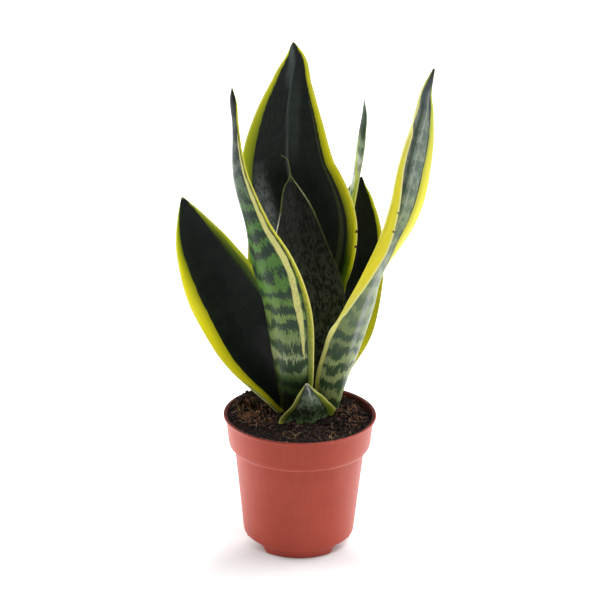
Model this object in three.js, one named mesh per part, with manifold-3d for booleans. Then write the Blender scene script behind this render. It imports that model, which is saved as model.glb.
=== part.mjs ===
// Potted snake plant: a tapered plastic nursery pot on three feet, its potting mix and eight leaves.
// Millimetres, +Z up. The origin is on the pot's axis, on the surface that it stands on. The front is -Y.

import * as THREE from "three";
import { ParametricGeometry } from "three/addons/geometries/ParametricGeometry.js";
import { mergeVertices } from "three/addons/utils/BufferGeometryUtils.js";
import Module from "manifold-3d";

// The pot: a 12 cm nursery pot.
const POT_HEIGHT = 106.5;
const LIP_RADIUS = 60;
const LIP_HEIGHT = 1.9;
const LIP_ROUND = 0.6;
const COLLAR_TOP_RADIUS = 58;
const COLLAR_BOTTOM_RADIUS = 56;
const COLLAR_BOTTOM_Z = 80.8;
const COLLAR_ROUND = 1.7;
const BODY_TOP_RADIUS = 51.4;
const BODY_BOTTOM_RADIUS = 44.2;
const BASE_Z = 6.4;
const BASE_ROUND = 2.7;
const POT_WALL = 1;

// Its three feet are hollow pads under the rim of the base. Water drains between them.
const FOOT_COUNT = 3;
const FRONT_ANGLE = -90;
const FOOT_LEVELS = [
  // height, outer radius, inner radius, half angle in degrees
  [0, 39.6, 31, 36],
  [0.5, 40.6, 30, 37.5],
  [1.6, 41.1, 29.4, 39],
  [5, 42, 28, 43],
  [7.4, 42.6, 27, 45.5],
];
const FOOT_COLUMNS = 10;
const DRAIN_RADIUS = 4;
const DRAIN_RING_RADIUS = 34;

// The potting mix.
const CLEARANCE = 0.3;
const SOIL_RINGS = [55.9, 52, 46, 39, 32, 25, 18, 10, 0];
const SOIL_LEVEL = 99.5;
const SOIL_MOUNDS = [
  // x, y, height, radius: the soil is heaped round the leaves and at the left of the back
  [10, 24, 4, 26],
  [-40, 22, 5, 15],
  [4, -50, 2, 22],
  [31, 5, 5, 9],
];
const ROUND_SEGMENTS = 56;

// The leaves. Thickness and crease are given at the base and at the tip; the crease is how far each half
// of the blade is folded in at the midrib. A row is a place on the midrib, the blade's half width there,
// the way its inner face looks (0 is the front, 90 is +X), how far each margin is turned in from flat
// and, on one leaf, the width of the left margin that is rolled over, in millimetres and degrees.
const LEAVES = {
  leaf_back_tall: {
    thickness: [3.4, 1.6],
    crease: [0, 16],
    steps: 30,
    rows: [
      [0, 28, 88, 13, 0, 78],
      [1, 33, 122, 21, 0, 60],
      [2, 39, 165, 31, 0, 42],
      [-2.5, 42.7, 205, 41, 0, 30],
      [0.3, 44.7, 247, 44.2, 0, 26],
      [-11.8, 45.9, 295, 38.1, 0, 24],
      [-11.8, 46.5, 330, 28.3, 0, 24],
      [-9, 47, 360, 16.2, 0, 24],
      [-6.8, 46.5, 378, 8.6, 0, 24],
      [-8.5, 46, 390, 0.7, 0, 24],
    ],
  },
  leaf_centre: {
    thickness: [2.8, 1.4],
    crease: [1, 6],
    steps: 34,
    rows: [
      [5, 19.5, 89, 8, -2, 75],
      [7, 20.5, 120, 14, -2, 60],
      [7, 21.5, 154, 23, -2, 46],
      [6, 22, 195, 30, -2, 35],
      [-0.5, 21.5, 235, 22.5, -2, 28],
      [-4.5, 21.5, 265, 13.5, -2, 28],
      [-8.5, 21, 283, 6.5, -2, 29],
      // its tip has dried to a thread
      [-9.5, 21, 293, 1, -2, 30],
      [-10.5, 21, 300, 0.6, -2, 30],
      [-12, 21, 305.5, 0.5, -2, 30],
      [-16.5, 21, 308.5, 0.4, -2, 30],
    ],
  },
  leaf_right_back: {
    thickness: [2.8, 1.4],
    crease: [1, 4],
    steps: 26,
    rows: [
      [25, 41, 89, 9, -16, 76],
      [30, 47, 124, 13, -14, 64],
      [43, 55.5, 160, 19, -12, 48],
      [44, 60.5, 201.5, 24, -10, 34],
      [46, 62, 236, 19, -6, 28],
      [44.5, 62, 260, 13.5, -6, 28],
      [44.5, 62, 274.5, 7, -6, 28],
      [46.5, 62, 282, 0.4, -6, 28],
    ],
  },
  leaf_left: {
    thickness: [3, 1.4],
    crease: [1, 4],
    steps: 26,
    rows: [
      [-8.5, 14, 88, 7.5, 28, 80],
      [-11.2, 16.3, 99, 9.2, 28, 78],
      [-17.3, 17.5, 110, 13.5, 28, 76],
      [-30.3, 20, 130, 21.4, 33, 60],
      [-49.6, 21, 163, 28.6, 31, 44],
      [-63, 23.5, 198, 32, 28, 33],
      [-74.5, 25, 223, 26, 26, 27],
      [-82.5, 26, 242, 19, 25, 24],
      [-88.5, 26.5, 260, 9.5, 24, 24],
      [-92.5, 26, 273.5, 0.7, 24, 24],
    ],
  },
  leaf_front_left: {
    thickness: [3.2, 1.4],
    crease: [1, 9],
    steps: 28,
    rows: [
      [-2, 4, 88, 10, 162, 72],
      [-7.5, -1, 118, 18, 158, 68],
      [-10, -8, 148, 21, 155, 58],
      [-16, -15, 198, 23.5, 152, 50],
      [-27.6, -19, 236.5, 20.5, 150, 48],
      [-36.7, -22, 264, 14.5, 138, 42],
      [-48.3, -25, 300, 13, 122, 37],
      [-50.6, -27, 345, 5.8, 112, 31],
      [-52, -27, 361, 5.5, 114, 30],
      [-51.5, -27, 369, 0.7, 116, 30],
    ],
  },
  leaf_front_right: {
    thickness: [3.2, 1.4],
    crease: [1, 17],
    steps: 30,
    columns: 14,
    rows: [
      [23.2, 14, 88, 8.8, 212, 76, 0],
      [28.4, 7.5, 122, 18.1, 214, 70, 0],
      [38.5, 0, 158, 21.5, 215, 64, 0],
      [48.4, -7, 194.5, 21, 215, 62, 2.2],
      [56, -12, 224.5, 18.4, 217, 60, 5.2],
      [63.7, -15, 247, 18.2, 203, 46, 7.3],
      [74.5, -18, 278, 18.5, 196, 34, 5.7],
      [80.7, -20, 312, 16, 190.5, 29, 2.9],
      [84.9, -23, 341, 10.9, 184, 28, 1.6],
      [87.2, -24, 353, 7, 181, 28, 0.6],
      [87.3, -25, 364, 4.8, 178, 28, 0],
      [92.5, -26, 384.5, 0.7, 176, 28, 0],
    ],
  },
  leaf_slim_back: {
    thickness: [2.2, 1.3],
    crease: [1, 8],
    steps: 24,
    rows: [
      [7, 38, 89, 6, 122, 76],
      [9, 43, 138, 8.5, 118, 64],
      [20, 46.6, 190, 8.9, 110, 50],
      [31.8, 48.3, 245, 9, 107, 44],
      [39, 49.2, 281, 8, 100, 40],
      [43.4, 49.5, 320, 10.5, 94, 37],
      [46, 50, 338, 6, 91, 34],
      [46.5, 50, 346, 0.7, 90, 30],
    ],
  },
  leaf_front_small: {
    thickness: [2.8, 1.4],
    crease: [2, 16],
    steps: 12,
    rows: [
      [8, -5.2, 88, 26, 196, 18],
      [7.8, -4, 102, 23.7, 194, 16],
      [7.6, -8, 114, 15.8, 192, 16],
      [6, -11.5, 126, 8.1, 190, 14],
      [5, -13, 136.5, 0.7, 188, 12],
    ],
  },
};
const LEAF_COLUMNS = 8;
const LEAF_SUBSTEPS = 6;
const LEAF_TIP_CROWDING = 0.3;
const LEAF_LEAST_HALF_WIDTH = 0.15;
const LEAF_FULL_THICKNESS_HALF_WIDTH = 6;
const LEAF_LEAST_TIP_THICKNESS = 0.05;
const MARGIN_THINNING = 0.72;
const MARGIN_THINNING_POWER = 2.2;
const CREASE_HALF_WIDTH = 1.6;
const ROLL_ANGLE = THREE.MathUtils.degToRad(165);
const ROLL_BEND = 5;
const ROLL_ONSET = 2;

const POT_MATERIAL = new THREE.MeshStandardMaterial({ color: 0xa94f3c, roughness: 0.42, metalness: 0 });
const SOIL_MATERIAL = new THREE.MeshStandardMaterial({ color: 0x2b1f1a, roughness: 0.95, metalness: 0 });
const LEAF_MATERIAL = new THREE.MeshStandardMaterial({ color: 0x34482c, roughness: 0.4, metalness: 0 });

const wasm = await Module();
wasm.setup();

// Shared vertices merged, and triangles with no area left out.
function cleaned(geometry) {
  const bare = geometry.clone();
  bare.deleteAttribute("normal");
  bare.deleteAttribute("uv");
  const merged = mergeVertices(bare, 1e-4);
  const corners = merged.index.array;
  const kept = [];
  for (let i = 0; i < corners.length; i += 3) {
    const [a, b, c] = corners.slice(i, i + 3);
    if (a !== b && b !== c && c !== a) kept.push(a, b, c);
  }
  merged.setIndex(kept);
  return merged;
}

function solidOf(geometry) {
  const merged = cleaned(geometry);
  return new wasm.Manifold(
    new wasm.Mesh({
      numProp: 3,
      vertProperties: merged.attributes.position.array,
      triVerts: new Uint32Array(merged.index.array),
    }),
  );
}

function geometryOf(solid) {
  const { vertProperties, triVerts } = solid.getMesh();
  const geometry = new THREE.BufferGeometry();
  geometry.setAttribute("position", new THREE.BufferAttribute(vertProperties, 3));
  geometry.setIndex(new THREE.BufferAttribute(triVerts, 1));
  return geometry;
}

function meshOf(name, geometry, material) {
  geometry.computeVertexNormals();
  const mesh = new THREE.Mesh(geometry, material);
  mesh.name = name;
  return mesh;
}

// A closed surface round a row of stations. Each station holds two lines of points, front and back,
// and both ends of the row close on the line halfway between them.
function loft(stations) {
  const closing = ({ front, back }) => {
    const middle = front.map((point, i) => point.clone().lerp(back[i], 0.5));
    return { front: middle, back: middle };
  };
  const rings = [closing(stations[0]), ...stations, closing(stations.at(-1))].map(
    ({ front, back }) => [...front, ...back.toReversed()],
  );
  const slices = rings[0].length;
  const stacks = rings.length - 1;
  const read = (u, v, target) => {
    const ring = rings[Math.round(v * stacks)];
    target.copy(ring[Math.round(u * slices) % slices]);
  };
  return cleaned(new ParametricGeometry(read, slices, stacks));
}

// A solid of revolution about Z, from a profile of [radius, height] that starts and ends on the axis.
function turned(profile) {
  const points = profile.map(([radius, height]) => new THREE.Vector2(radius, height));
  return new THREE.LatheGeometry(points, ROUND_SEGMENTS).rotateX(Math.PI / 2);
}

// Pot.

function potOutside() {
  const lipBottom = POT_HEIGHT - LIP_HEIGHT;
  return [
    [0, BASE_Z],
    [BODY_BOTTOM_RADIUS - BASE_ROUND, BASE_Z],
    [BODY_BOTTOM_RADIUS - BASE_ROUND * 0.5, BASE_Z + BASE_ROUND * 0.18],
    [BODY_BOTTOM_RADIUS - BASE_ROUND * 0.18, BASE_Z + BASE_ROUND * 0.5],
    [BODY_BOTTOM_RADIUS, BASE_Z + BASE_ROUND],
    [BODY_TOP_RADIUS, COLLAR_BOTTOM_Z],
    [COLLAR_BOTTOM_RADIUS - COLLAR_ROUND, COLLAR_BOTTOM_Z],
    [COLLAR_BOTTOM_RADIUS - COLLAR_ROUND * 0.4, COLLAR_BOTTOM_Z + COLLAR_ROUND * 0.5],
    [COLLAR_BOTTOM_RADIUS, COLLAR_BOTTOM_Z + COLLAR_ROUND * 1.9],
    [COLLAR_TOP_RADIUS, lipBottom - LIP_ROUND],
    [COLLAR_TOP_RADIUS + LIP_ROUND, lipBottom],
    [LIP_RADIUS - LIP_ROUND, lipBottom],
    [LIP_RADIUS, lipBottom + LIP_ROUND],
    [LIP_RADIUS, POT_HEIGHT - LIP_ROUND],
    [LIP_RADIUS - LIP_ROUND, POT_HEIGHT],
    [0, POT_HEIGHT],
  ];
}

// The inside of the pot's wall, drawn in by a clearance, up to the height where it is cut off.
function potInside(clearance, top) {
  const offset = POT_WALL + clearance;
  const floor = BASE_Z + offset;
  const ledge = COLLAR_BOTTOM_Z + offset;
  const slope = (COLLAR_TOP_RADIUS - COLLAR_BOTTOM_RADIUS) / (POT_HEIGHT - COLLAR_BOTTOM_Z);
  return [
    [0, floor],
    [BODY_BOTTOM_RADIUS - BASE_ROUND - clearance, floor],
    [BODY_BOTTOM_RADIUS - offset, floor + BASE_ROUND],
    [BODY_TOP_RADIUS - offset, ledge],
    [COLLAR_BOTTOM_RADIUS - COLLAR_ROUND - clearance, ledge],
    [COLLAR_BOTTOM_RADIUS - offset, ledge + COLLAR_ROUND],
    [COLLAR_BOTTOM_RADIUS - offset + slope * (top - ledge), top],
  ];
}

// One hollow foot, or the space inside it when it is drawn in by the wall.
function foot(angle, inset) {
  const stations = FOOT_LEVELS.map(([height, outer, inner, halfAngle]) => {
    const reach = halfAngle - THREE.MathUtils.radToDeg(inset / outer);
    const arc = (radius) =>
      Array.from({ length: FOOT_COLUMNS + 1 }, (_, i) => {
        const turn = THREE.MathUtils.degToRad(angle + reach * ((2 * i) / FOOT_COLUMNS - 1));
        return new THREE.Vector3(radius * Math.cos(turn), radius * Math.sin(turn), height + inset);
      });
    return { front: arc(outer - inset), back: arc(inner + inset) };
  });
  return loft(stations);
}

function footAngles() {
  return Array.from({ length: FOOT_COUNT }, (_, i) => FRONT_ANGLE + (360 / FOOT_COUNT) * i);
}

function drainHole(radius, angle) {
  const turn = THREE.MathUtils.degToRad(angle);
  return new THREE.CylinderGeometry(DRAIN_RADIUS, DRAIN_RADIUS, POT_WALL * 6, 20)
    .rotateX(Math.PI / 2)
    .translate(radius * Math.cos(turn), radius * Math.sin(turn), BASE_Z);
}

function potSolid() {
  const brim = POT_HEIGHT + POT_WALL;
  let outside = solidOf(turned(potOutside()));
  let inside = solidOf(turned([...potInside(0, brim), [0, brim]]));
  for (const angle of footAngles()) {
    outside = outside.add(solidOf(foot(angle, 0)));
    inside = inside.add(solidOf(foot(angle, POT_WALL)));
  }
  let pot = outside.subtract(inside).subtract(solidOf(drainHole(0, 0)));
  for (const angle of footAngles()) {
    pot = pot.subtract(solidOf(drainHole(DRAIN_RING_RADIUS, angle + 180 / FOOT_COUNT)));
  }
  return pot;
}

// Leaves.

function knotsOf(rows) {
  const knots = [0];
  for (let i = 1; i < rows.length; i++) {
    const before = new THREE.Vector3(...rows[i - 1].slice(0, 3));
    knots.push(knots[i - 1] + before.distanceTo(new THREE.Vector3(...rows[i].slice(0, 3))));
  }
  return knots.map((knot) => knot / knots.at(-1));
}

// Every value of the rows at t, on a smooth cubic through them.
function valuesAt(rows, t) {
  const knots = knotsOf(rows);
  const last = rows.length - 1;
  const i = Math.min(Math.max(knots.findLastIndex((knot) => knot <= t), 0), last - 1);
  const span = knots[i + 1] - knots[i];
  const f = (t - knots[i]) / span;
  const rise = (k, c) => (rows[k + 1][c] - rows[k][c]) / (knots[k + 1] - knots[k]);
  const slope = (k, c) => {
    if (k === 0) return rise(0, c);
    if (k === last) return rise(last - 1, c);
    const before = knots[k] - knots[k - 1];
    const after = knots[k + 1] - knots[k];
    return (rise(k - 1, c) * after + rise(k, c) * before) / (before + after);
  };
  return rows[i].map((value, c) => {
    const near = (2 * f ** 3 - 3 * f ** 2 + 1) * value + (f ** 3 - 2 * f ** 2 + f) * span * slope(i, c);
    const far = (3 * f ** 2 - 2 * f ** 3) * rows[i + 1][c] + (f ** 3 - f ** 2) * span * slope(i + 1, c);
    return near + far;
  });
}

// The blade's direction across itself, in radians from flat, at u from -1 to 1 across it.
function headingAt(u, half, cup, crease, roll) {
  const curled = (cup - crease) * u + crease * Math.tanh((u * half) / CREASE_HALF_WIDTH);
  if (roll <= 0) return curled;
  const bend = ROLL_BEND / half;
  const start = 1 - roll / half - bend;
  const turnedOver = THREE.MathUtils.smoothstep(u, start, start + bend);
  return curled - ROLL_ANGLE * Math.min(roll / ROLL_ONSET, 1) * turnedOver;
}

// One cross-section of a leaf. grow makes it larger all round, for the space that it takes in the soil.
function leafStation({ rows, thickness, crease, columns = LEAF_COLUMNS }, t, grow) {
  const nudge = 1e-3;
  const pointAt = (at) => new THREE.Vector3(...valuesAt(rows, THREE.MathUtils.clamp(at, 0, 1)));
  const [, , , width, facing, cupDegrees, roll = 0] = valuesAt(rows, t);
  const tangent = pointAt(t + nudge).sub(pointAt(t - nudge)).normalize();
  const turn = THREE.MathUtils.degToRad(facing);
  const toward = new THREE.Vector3(Math.sin(turn), -Math.cos(turn), 0);
  const normal = toward.addScaledVector(tangent, -toward.dot(tangent)).normalize();
  const across = new THREE.Vector3().crossVectors(tangent, normal);
  const centre = pointAt(t);
  if (t === 0) centre.addScaledVector(tangent, -grow);

  const cup = THREE.MathUtils.degToRad(cupDegrees);
  const fold = THREE.MathUtils.degToRad(THREE.MathUtils.lerp(...crease, t));
  const half = Math.max(width, LEAF_LEAST_HALF_WIDTH) + grow;
  const full = THREE.MathUtils.lerp(...thickness, t);
  const tipward = THREE.MathUtils.clamp(half / LEAF_FULL_THICKNESS_HALF_WIDTH, LEAF_LEAST_TIP_THICKNESS, 1);
  const front = [];
  const back = [];
  for (let column = 0; column <= columns; column++) {
    const u = (2 * column) / columns - 1;
    // The middle surface is followed outwards from the midrib in short straight steps.
    const count = Math.max(1, Math.round(Math.abs(u) * columns * 0.5 * LEAF_SUBSTEPS));
    let sideways = 0;
    let inwards = 0;
    for (let k = 0; k < count; k++) {
      const heading = headingAt((u * (k + 0.5)) / count, half, cup, fold, roll);
      sideways += (half * u * Math.cos(heading)) / count;
      inwards += (half * u * Math.sin(heading)) / count;
    }
    const heading = headingAt(u, half, cup, fold, roll);
    const middle = centre.clone().addScaledVector(across, sideways).addScaledVector(normal, inwards);
    const out = across.clone().multiplyScalar(-Math.sin(heading));
    out.addScaledVector(normal, Math.cos(heading));
    const thinning = 1 - MARGIN_THINNING * Math.abs(u) ** MARGIN_THINNING_POWER;
    const reach = (full * Math.sqrt(tipward) * thinning) / 2 + grow;
    front.push(middle.clone().addScaledVector(out, reach));
    back.push(middle.clone().addScaledVector(out, -reach));
  }
  return { front, back };
}

function leafGeometry(leaf, grow = 0) {
  const stations = [];
  for (let step = 0; step <= leaf.steps; step++) {
    const s = step / leaf.steps;
    const t = s + LEAF_TIP_CROWDING * s * (1 - s);
    stations.push(leafStation(leaf, t, grow));
  }
  return loft(stations);
}

// Soil.

function soilHeight(x, y) {
  const broad = 0.7 * Math.sin(0.42 * x + 0.9) * Math.cos(0.37 * y + 0.4);
  const lumps = broad + 0.5 * Math.sin(0.31 * y - 0.55 * x);
  const mounds = SOIL_MOUNDS.map(
    ([mx, my, height, radius]) => height * Math.exp(-((x - mx) ** 2 + (y - my) ** 2) / radius ** 2),
  );
  return mounds.reduce((sum, height) => sum + height, SOIL_LEVEL + lumps);
}

function soilSolid() {
  const side = potInside(CLEARANCE, SOIL_LEVEL - 4);
  const top = SOIL_RINGS.map((radius) => [radius, SOIL_LEVEL]);
  const geometry = turned([...side, ...top]);
  const position = geometry.attributes.position;
  for (let i = 0; i < position.count; i++) {
    if (position.getZ(i) > SOIL_LEVEL - 1) {
      position.setZ(i, soilHeight(position.getX(i), position.getY(i)));
    }
  }
  let soil = solidOf(geometry);
  for (const angle of footAngles()) {
    soil = soil.add(solidOf(foot(angle, POT_WALL + CLEARANCE)));
  }
  for (const leaf of Object.values(LEAVES)) {
    soil = soil.subtract(solidOf(leafGeometry(leaf, CLEARANCE)));
  }
  return soil;
}

const plant = new THREE.Group();
plant.add(meshOf("pot", geometryOf(potSolid()), POT_MATERIAL));
plant.add(meshOf("soil", geometryOf(soilSolid()), SOIL_MATERIAL));
for (const [name, leaf] of Object.entries(LEAVES)) {
  plant.add(meshOf(name, leafGeometry(leaf), LEAF_MATERIAL));
}

export default plant;
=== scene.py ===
"""Looks of a potted snake plant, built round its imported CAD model.

Sizes are in millimetres until a mesh is made. Colours are screen colours until a mesh or a node takes them.
"""

import math
import random

import bmesh
import bpy
import numpy as np
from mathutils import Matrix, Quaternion, Vector, noise


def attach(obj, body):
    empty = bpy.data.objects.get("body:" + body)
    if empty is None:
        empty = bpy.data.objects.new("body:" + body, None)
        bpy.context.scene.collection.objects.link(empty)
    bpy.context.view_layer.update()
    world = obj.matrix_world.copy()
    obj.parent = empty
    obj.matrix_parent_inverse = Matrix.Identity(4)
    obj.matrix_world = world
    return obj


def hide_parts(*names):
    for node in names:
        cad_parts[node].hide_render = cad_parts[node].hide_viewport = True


MM = 0.001
BODY = "root"

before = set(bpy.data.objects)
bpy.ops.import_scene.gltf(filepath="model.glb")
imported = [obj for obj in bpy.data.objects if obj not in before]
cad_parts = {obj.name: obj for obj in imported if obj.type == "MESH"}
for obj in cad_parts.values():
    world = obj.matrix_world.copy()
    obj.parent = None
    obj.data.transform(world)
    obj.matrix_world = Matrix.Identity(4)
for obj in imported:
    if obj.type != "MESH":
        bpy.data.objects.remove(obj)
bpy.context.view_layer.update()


def add_object(name, data):
    made = bpy.data.objects.new(name, data)
    bpy.context.collection.objects.link(made)
    return made


# Camera, as the photograph's: how high it looks from, what it looks at, and its lens.

ELEVATION = math.radians(19)
ROLL = math.radians(0.7)
TARGET = Vector((-1, 0, 200))
DISTANCE = 1200
SENSOR = 36
LENS = 93.9
SIGHT = 20000


def make_camera():
    camera = add_object("camera", bpy.data.cameras.new("camera"))
    towards = Vector((0, math.cos(ELEVATION), -math.sin(ELEVATION)))
    camera.location = (TARGET - DISTANCE * towards) * MM
    camera.rotation_mode = "QUATERNION"
    camera.rotation_quaternion = towards.to_track_quat("-Z", "Y") @ Quaternion((0, 0, 1), ROLL)
    camera.data.sensor_width = SENSOR
    camera.data.lens = LENS
    camera.data.clip_end = SIGHT * MM
    bpy.context.scene.camera = camera


# Meshes.

def srgb(text):
    """A linear colour from a hexadecimal screen colour."""
    parts = [int(text[i:i + 2], 16) / 255 for i in (1, 3, 5)]
    return tuple(c / 12.92 if c <= 0.04045 else ((c + 0.055) / 1.055) ** 2.4 for c in parts)


def make_object(name, points, faces, material, attributes=None, colours=None):
    """A smooth mesh from points in millimetres, with named numbers and colours at its points."""
    mesh = bpy.data.meshes.new(name)
    mesh.from_pydata((np.asarray(points, float) * MM).tolist(), [], faces)
    mesh.shade_smooth()
    for key, values in (attributes or {}).items():
        made = mesh.attributes.new(key, "FLOAT", "POINT")
        made.data.foreach_set("value", np.asarray(values, np.float32).ravel())
    for key, values in (colours or {}).items():
        made = mesh.attributes.new(key, "FLOAT_COLOR", "POINT")
        rgba = np.ones((len(points), 4), np.float32)
        rgba[:, :3] = values
        made.data.foreach_set("color", rgba.ravel())
    mesh.materials.append(material)
    piece = add_object(name, mesh)
    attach(piece, BODY)
    return piece


def grid_faces(rows, columns):
    """Quads between rows of points. Each row's last point joins its first."""
    faces = []
    for i in range(rows - 1):
        for j in range(columns):
            a, b = i * columns + j, i * columns + (j + 1) % columns
            faces.append((a, b, b + columns, a + columns))
    return faces


def tube_faces(rows, columns):
    """The quads between the rows, and an end on the first row and on the last."""
    last = (rows - 1) * columns
    return grid_faces(rows, columns) + [tuple(range(columns))[::-1], tuple(range(last, last + columns))]


def polar(radius, turn):
    return radius * math.cos(turn), radius * math.sin(turn)


def ease(x):
    """From 0 to 1 as x goes from 0 to 1, slowly at both ends."""
    x = np.clip(x, 0, 1)
    return x * x * (3 - 2 * x)


# Node graphs.

class Graph:
    """The nodes of a material or a world. A value is a number, a colour or another node's output."""

    def __init__(self, owner):
        self.owner = owner
        owner.use_nodes = True
        self.tree = owner.node_tree

    def put(self, socket, value):
        if isinstance(value, str):
            value = srgb(value)
        if isinstance(value, bpy.types.NodeSocket):
            self.tree.links.new(value, socket)
        elif hasattr(socket.default_value, "__len__"):
            socket.default_value = (tuple(value) + (1.0,))[:len(socket.default_value)]
        else:
            socket.default_value = value

    def node(self, kind, values=(), **settings):
        """A new node with these settings. Values go to its first inputs, or to named ones."""
        node = self.tree.nodes.new("ShaderNode" + kind)
        for key, setting in settings.items():
            setattr(node, key, setting)
        pairs = values.items() if isinstance(values, dict) else enumerate(values)
        for key, value in pairs:
            self.put(node.inputs[key], value)
        return node

    def attribute(self, name, kind="Fac"):
        return self.node("Attribute", attribute_name=name).outputs[kind]

    def place(self):
        return self.node("TexCoord").outputs["Object"]

    def millimetres(self):
        return self.vector("MULTIPLY", self.place(), (1 / MM, 1 / MM, 1 / MM))

    def math(self, operation, a, b=0.0):
        return self.node("Math", (a, b), operation=operation).outputs[0]

    def plus(self, a, b):
        return self.math("ADD", a, b)

    def minus(self, a, b):
        return self.math("SUBTRACT", a, b)

    def times(self, value, *factors):
        for factor in factors:
            value = self.math("MULTIPLY", value, factor)
        return value

    def vector(self, operation, a, b=(0, 0, 0)):
        node = self.node("VectorMath", (a, b), operation=operation)
        return node.outputs["Value" if operation == "LENGTH" else "Vector"]

    def combine(self, x, y, z):
        return self.node("CombineXYZ", (x, y, z)).outputs[0]

    def split(self, vector):
        return self.node("SeparateXYZ", (vector,)).outputs

    def noise(self, vector, scale, detail=2.0, rough=0.5):
        values = {"Vector": vector, "Scale": scale, "Detail": detail, "Roughness": rough}
        return self.node("TexNoise", values).outputs["Fac"]

    def step(self, value, low, high, to_low=0.0, to_high=1.0):
        """Runs smoothly from to_low to to_high as value runs from low to high."""
        values = (value, low, high, to_low, to_high)
        return self.node("MapRange", values, interpolation_type="SMOOTHSTEP").outputs[0]

    def mix(self, factor, a, b):
        node = self.node("Mix", {"Factor": factor}, data_type="RGBA")
        for socket, value in zip([s for s in node.inputs if s.type == "RGBA"], (a, b)):
            self.put(socket, value)
        return next(s for s in node.outputs if s.type == "RGBA")

    def bump(self, height, strength, distance):
        """A relief. Its distance is in millimetres."""
        values = {"Strength": strength, "Distance": distance * MM, "Height": height}
        return self.node("Bump", values).outputs[0]

    def finish(self, **values):
        """Sets a material's shader, whose inputs are named here with _ for a space."""
        shader = self.tree.nodes["Principled BSDF"]
        for key, value in values.items():
            self.put(shader.inputs[key.replace("_", " ")], value)
        return self.owner


# Leaves. Left and right are as seen when one looks at a leaf's inner face. Thickness, and crease, which is
# how far the halves are folded up at the midrib, are given at the base and at the tip. A row is a place on
# the midrib, the blade's half width there, the way its inner face looks (0 is the front, 90 is +X), how far
# each margin is turned in from flat, and the width of the right margin that is rolled over. The other lists
# run up the leaf, and each entry starts with a height. What follows it is:
# - margin, gap, stripe: the width of the yellow margin, of the dark gap inside it and of the stripe past it
# - dusk, crest: how shaded the margin is, and how lit where it is rolled over
# - fleck, midrib, mottle: how far the bands dissolve into flecks, how much the midrib's painted sheen and
#   specks show
# - inner, outer: a face's dark and pale colours, and how much the pale bands show. Most inner faces are
#   darkened with painted shade, and some rows of the outer faces hold painted sheen and shade.
# - gold: the margin's colour, in places made brighter or darker up the leaf as painted light and shade
# - nicks: half the length of a small dried wound of the margin
# A lane is its own colours and, by height, its strength, its place across the leaf and its reach sideways.
# Most lanes are painted sheen, highlight and reflection.

# YELLOW_SHADE is the margins' yellow darkened with painted shade.
YELLOW = "#d2cd10"
YELLOW_SHADE = "#a8b010"
YELLOW_GREEN = "#a4ab34"
NIGHT = "#0f1412"
DEEP = "#182016"
MOTTLE = "#2c3a22"
GREEN = "#5f8c3a"
BAND = "#1d2e1f"
PALE = "#a2ae74"
GREY = "#6d7a6c"
DRY = "#b9b6a8"

LEAVES = {}

LEAVES["leaf_back_tall"] = dict(
    thickness=(3.4, 1.6),
    crease=(0, 16),
    rows=[
        (0, 28, 88, 13, 0, 78), (1, 33, 122, 21, 0, 60), (2, 39, 165, 31, 0, 42),
        (-2.5, 42.7, 205, 41, 0, 30), (0.3, 44.7, 247, 44.2, 0, 26), (-11.8, 45.9, 295, 38.1, 0, 24),
        (-11.8, 46.5, 330, 28.3, 0, 24), (-9, 47, 360, 16.2, 0, 24), (-6.8, 46.5, 378, 8.6, 0, 24),
        (-8.5, 46, 390, 0.7, 0, 24),
    ],
    margin_left=[(88, 8), (280, 9), (300, 9.5), (320, 8), (345, 5), (370, 2.6), (382, 1.2), (387, 0)],
    margin_right=[
        (88, 5), (180, 6), (200, 7), (230, 8), (260, 7.8), (290, 7.5), (320, 6), (340, 4.8), (360, 4),
        (374, 3), (384, 1.6), (388, 0),
    ],
    dusk_left=[(200, 0.5), (390, 0.2)],
    dusk_right=[(200, 1), (224, 1), (248, 0.5), (290, 0.3), (390, 0.1)],
    stripe_right=[(150, 4), (240, 4), (262, 2.2), (300, 1.3), (345, 1), (352, 0)],
    gap_right=[(150, 3.2), (250, 3), (285, 1.8), (345, 1.2)],
    stripe_colour="#3a4024",
    fleck=[(88, 0.7)],
    # These lanes are painted sheen: a reflection low on the left, the left half of the tip, a faint one
    # right of the midrib, and a line along the crease.
    lanes=[
        ("#596160", "#a3a9a2", [
            (226, 0.95, -30, 8.5), (245, 0.9, -29, 8.5), (262, 0.8, -28, 9), (284, 0.4, -26, 8),
            (303, 0, -25, 7),
        ]),
        ("#555f60", "#626c6c", [(352, 0, -2.8, 2.6), (366, 0.4, -3, 3), (384, 0.85, -2.6, 2.4)]),
        ("#2c352f", "#38443c", [(290, 0, 6, 5), (315, 0.7, 5, 5), (350, 0.8, 4, 5), (372, 0.2, 3, 4)]),
        ("#4d5452", "#4d5452", [
            (230, 0.6, 0.5, 0.8), (290, 0.8, 0, 0.8), (330, 0.7, -0.8, 0.8), (370, 0.8, -1.2, 0.7),
            (386, 0, -1, 0.6),
        ]),
    ],
    inner=[
        (88, DEEP, MOTTLE, 0.5), (200, "#1c1f1b", "#252922", 0.6), (255, "#191c19", "#20241f", 0.6),
        (290, NIGHT, "#1a201a", 0.6), (340, NIGHT, "#202821", 0.6), (392, "#191f20", NIGHT, 0),
    ],
    outer=[(88, DEEP, GREEN, 0.8), (200, BAND, GREEN, 0.9), (350, BAND, GREY, 0.6), (392, NIGHT, NIGHT, 0)],
    gold_left=[(88, YELLOW_SHADE), (305, "#a9b30a"), (332, "#bcc20a"), (355, "#d6d40e"), (390, "#d4d61e")],
    gold_right=[
        (88, YELLOW_SHADE), (200, "#6b7610"), (212, "#8f9910"), (226, "#d8d40a"), (236, "#f6ee08"),
        (310, "#eee60c"), (390, "#e6e438"),
    ],
    midrib=[(150, 0), (260, 0.5), (380, 0.6)],
    nicks_right=[(253, 0.6), (248, 0.7), (244, 0.6), (236, 1.0), (219, 0.6)],
)

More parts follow.
